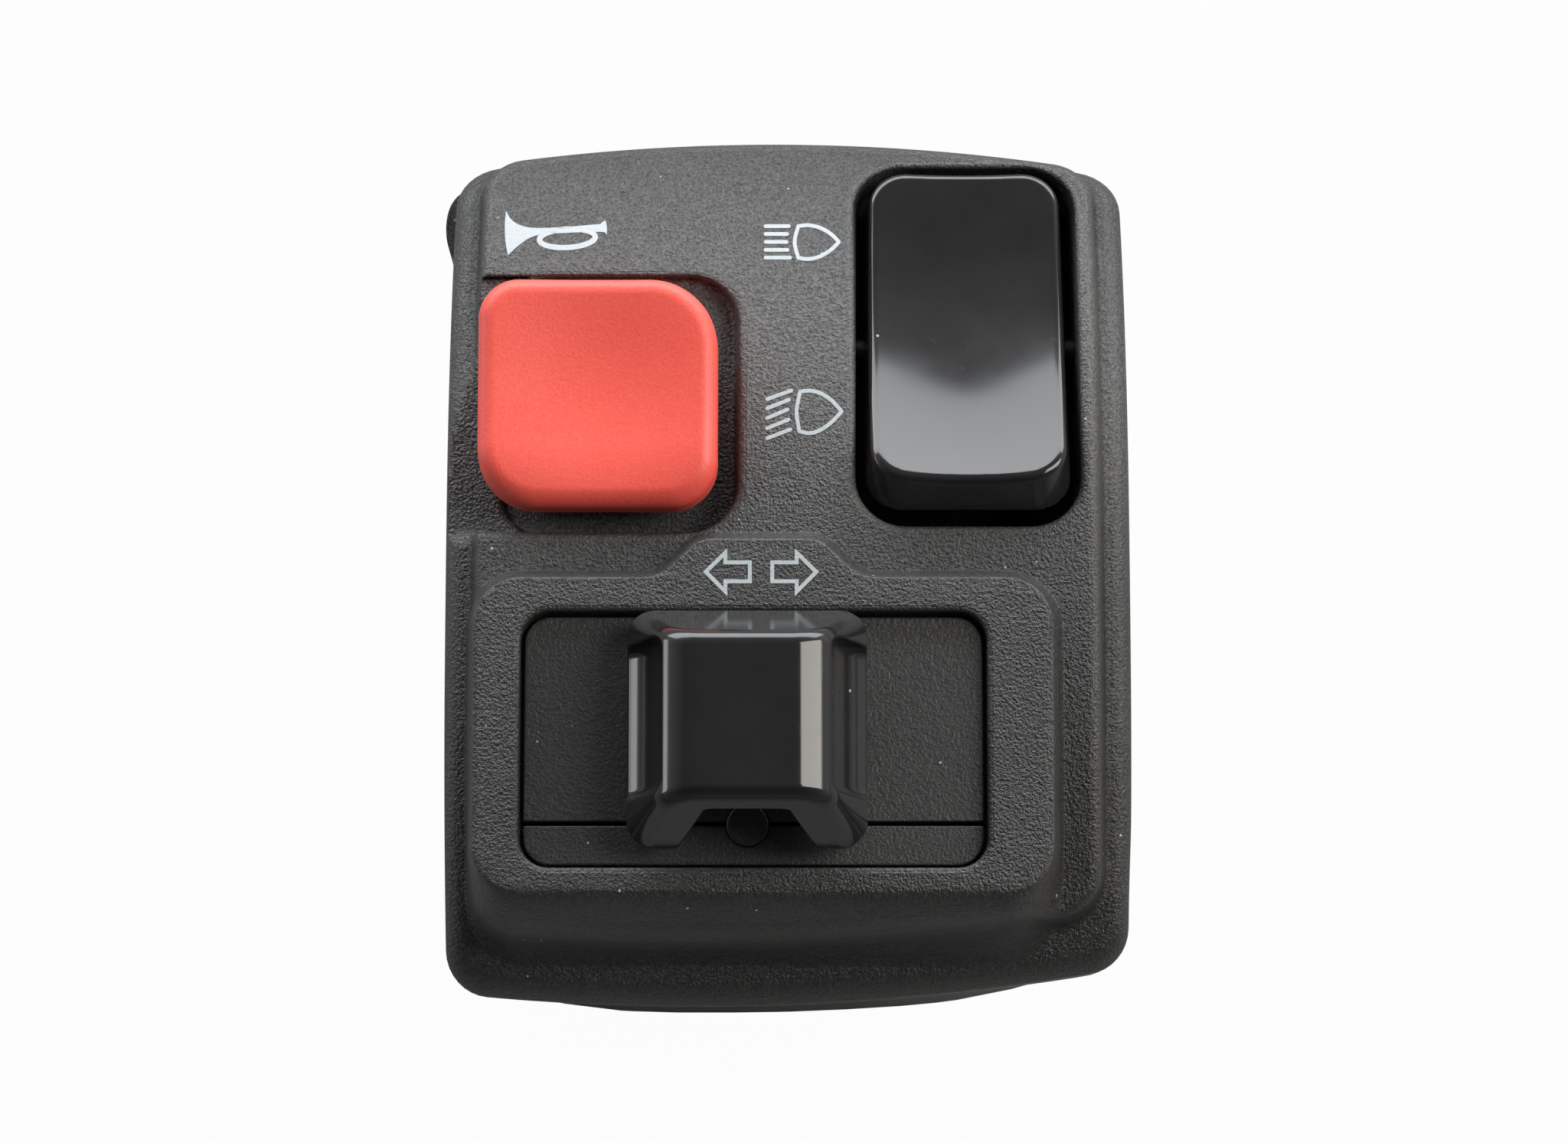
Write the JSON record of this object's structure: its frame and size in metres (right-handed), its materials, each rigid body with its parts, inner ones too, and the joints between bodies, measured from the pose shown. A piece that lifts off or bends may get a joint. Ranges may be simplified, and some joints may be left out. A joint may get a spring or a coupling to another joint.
{
  "type": "handlebar switch cluster",
  "caption": "Clamp-on left handlebar switch cluster with a red horn button, a black dimmer rocker and a turn-signal slider knob in a raised bezel.",
  "frame": {"origin": "on the handlebar's axis, halfway along the clamp bore", "axes": "+X along the handlebar towards the machine's middle, +Y up the face, +Z out of the face towards the rider"},
  "size_m": [0.0482, 0.061, 0.0553],
  "materials": {
    "housing_plastic": "fine spark-eroded grain",
    "slider_plastic": "fine grain",
    "red_plastic": "satin",
    "gloss_black": "polished",
    "natural_nylon": "satin",
    "steel": "zinc plated",
    "spring_steel": "drawn wire",
    "brass": "plain",
    "laminate": "black phenolic laminate",
    "rubber": "moulded"
  },
  "bodies": {
    "housing": {"front_housing": "housing_plastic", "rear_housing": "housing_plastic", "housing_screws": "steel", "threaded_inserts": "brass", "cable_grommet": "rubber", "slider_face_plate": "slider_plastic", "slider_lower_strip": "slider_plastic", "slider_peg": "slider_plastic", "contact_board": "laminate", "board_screws": "steel", "horn_contacts": "brass", "dimmer_contacts": "brass", "turn_contacts": "brass", "dimmer_axle": "steel", "turn_detent_rail": "steel", "dimmer_detent_track": "natural_nylon", "horn_spring": "spring_steel"},
    "horn": {"horn_button": "red_plastic", "horn_clip": "natural_nylon", "horn_contact_bridge": "brass"},
    "dimmer": {"dimmer_rocker": "gloss_black", "dimmer_spring": "spring_steel", "dimmer_ball": "steel", "dimmer_contact_bridge": "brass"},
    "turn_slide_body": {"turn_carriage": "natural_nylon", "turn_contact_bridge": "brass", "turn_detent_spring": "spring_steel", "turn_detent_ball": "steel", "cancel_spring": "spring_steel"},
    "turn_knob_body": {"turn_knob": "gloss_black", "cancel_plunger": "steel", "plunger_clip": "spring_steel"}
  },
  "joints": [
    {"name": "horn_press", "type": "slide", "parent": "housing", "child": "horn", "axis": [0, 0, -1], "range_m": [0, 0.002], "stiffness_N_per_m": 600, "springref_m": -0.002, "deforming": ["horn_spring"]},
    {"name": "dimmer_rock", "type": "hinge", "parent": "housing", "child": "dimmer", "pos_m": [0.01215, 0.0166, 0.02315], "axis": [1, 0, 0], "range_deg": [0, 8]},
    {"name": "turn_slide", "type": "slide", "parent": "housing", "child": "turn_slide_body", "axis": [1, 0, 0], "range_m": [-0.004, 0.004]},
    {"name": "turn_cancel", "type": "slide", "parent": "turn_slide_body", "child": "turn_knob_body", "axis": [0, 0, -1], "range_m": [0, 0.0015], "stiffness_N_per_m": 700, "springref_m": -0.0015, "deforming": ["cancel_spring"]}
  ]
}
